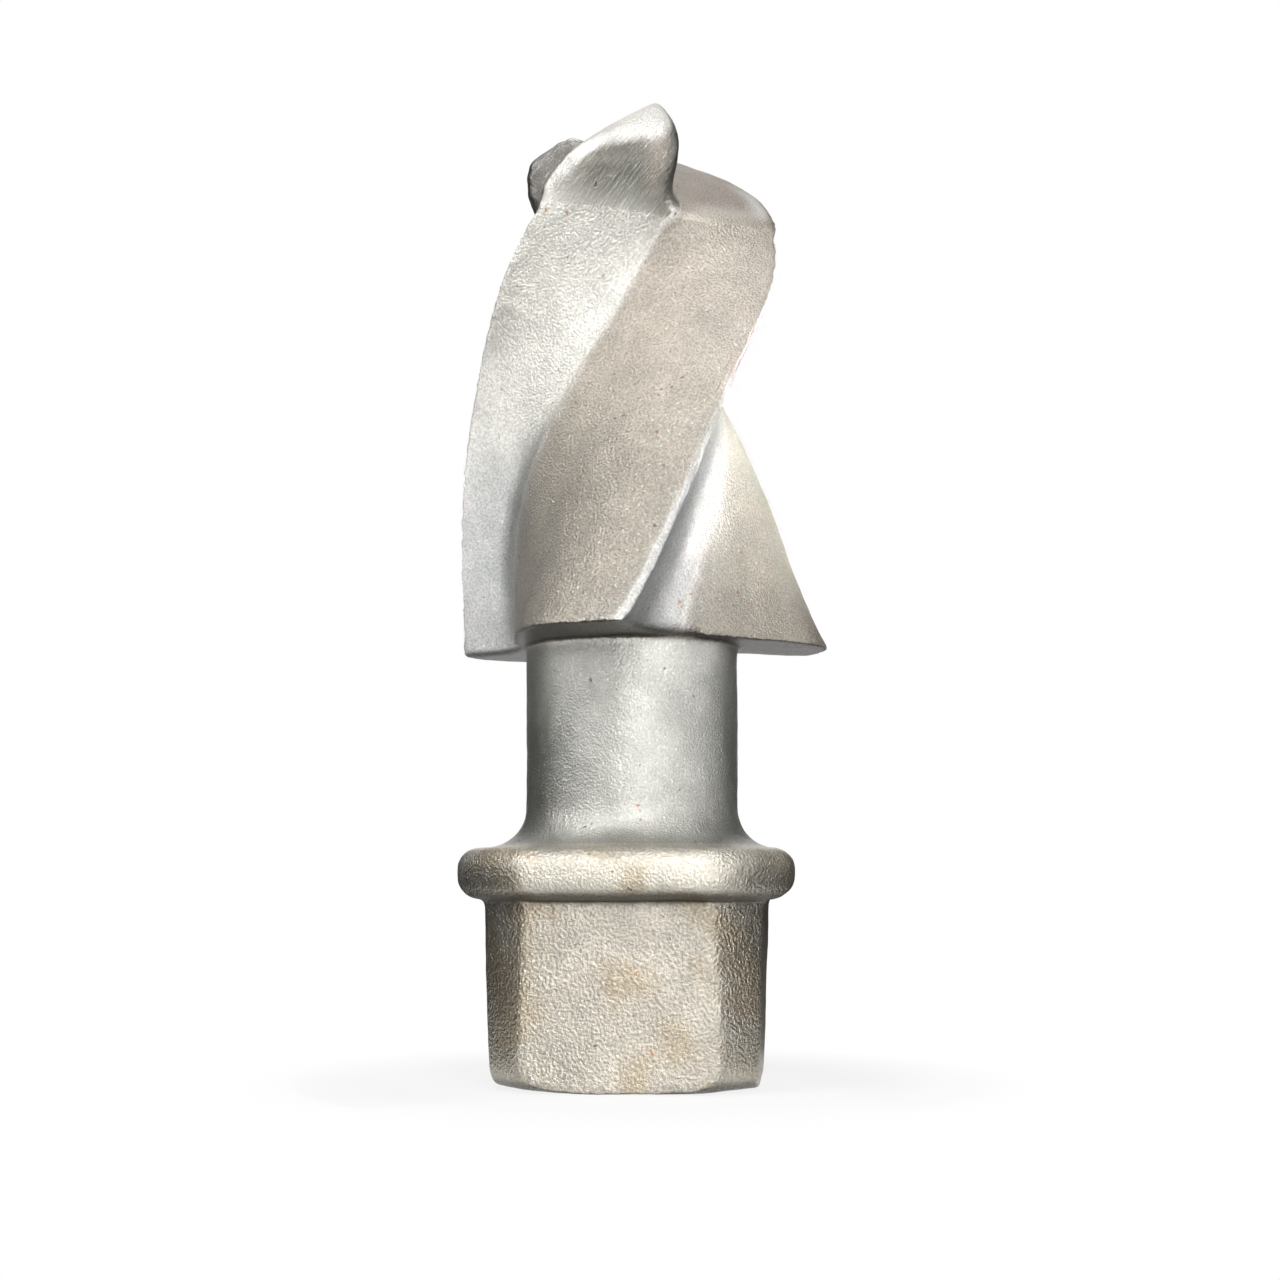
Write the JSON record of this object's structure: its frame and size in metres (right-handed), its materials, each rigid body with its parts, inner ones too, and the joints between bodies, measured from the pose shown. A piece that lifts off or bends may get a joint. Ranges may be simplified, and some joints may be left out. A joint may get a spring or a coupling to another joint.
{
  "type": "auger pilot bit",
  "caption": "Cast steel auger pilot bit with a square drive shank, a shoulder collar, a round neck and a right-hand spiral head that ends in claw-like cutting teeth.",
  "frame": {"origin": "centre of the flat end face of the square drive shank", "axes": "+Z along the bit's axis towards the teeth; the flats of the square shank face +-X and +-Y"},
  "size_m": [0.0634, 0.0613, 0.1584],
  "materials": {
    "shank_cast": "raw cast, shot blasted, coarse grain with a light rust tint",
    "collar_cast": "raw cast, shot blasted",
    "neck_cast": "raw cast, shot blasted, finer grain",
    "core_steel": "solid steel inside the head, not seen",
    "wing_cast": "raw cast, shot blasted, worn bright along the outer edges",
    "tooth_ground": "raw cast with ground scratches and worn edges"
  },
  "bodies": {
    "root": {"drive_shank": "shank_cast", "shoulder_collar": "collar_cast", "neck": "neck_cast", "head_core": "core_steel", "wing_1": "wing_cast", "wing_2": "wing_cast", "wing_3": "wing_cast", "tooth_1": "tooth_ground", "tooth_2": "tooth_ground", "tooth_3": "tooth_ground"}
  },
  "joints": []
}
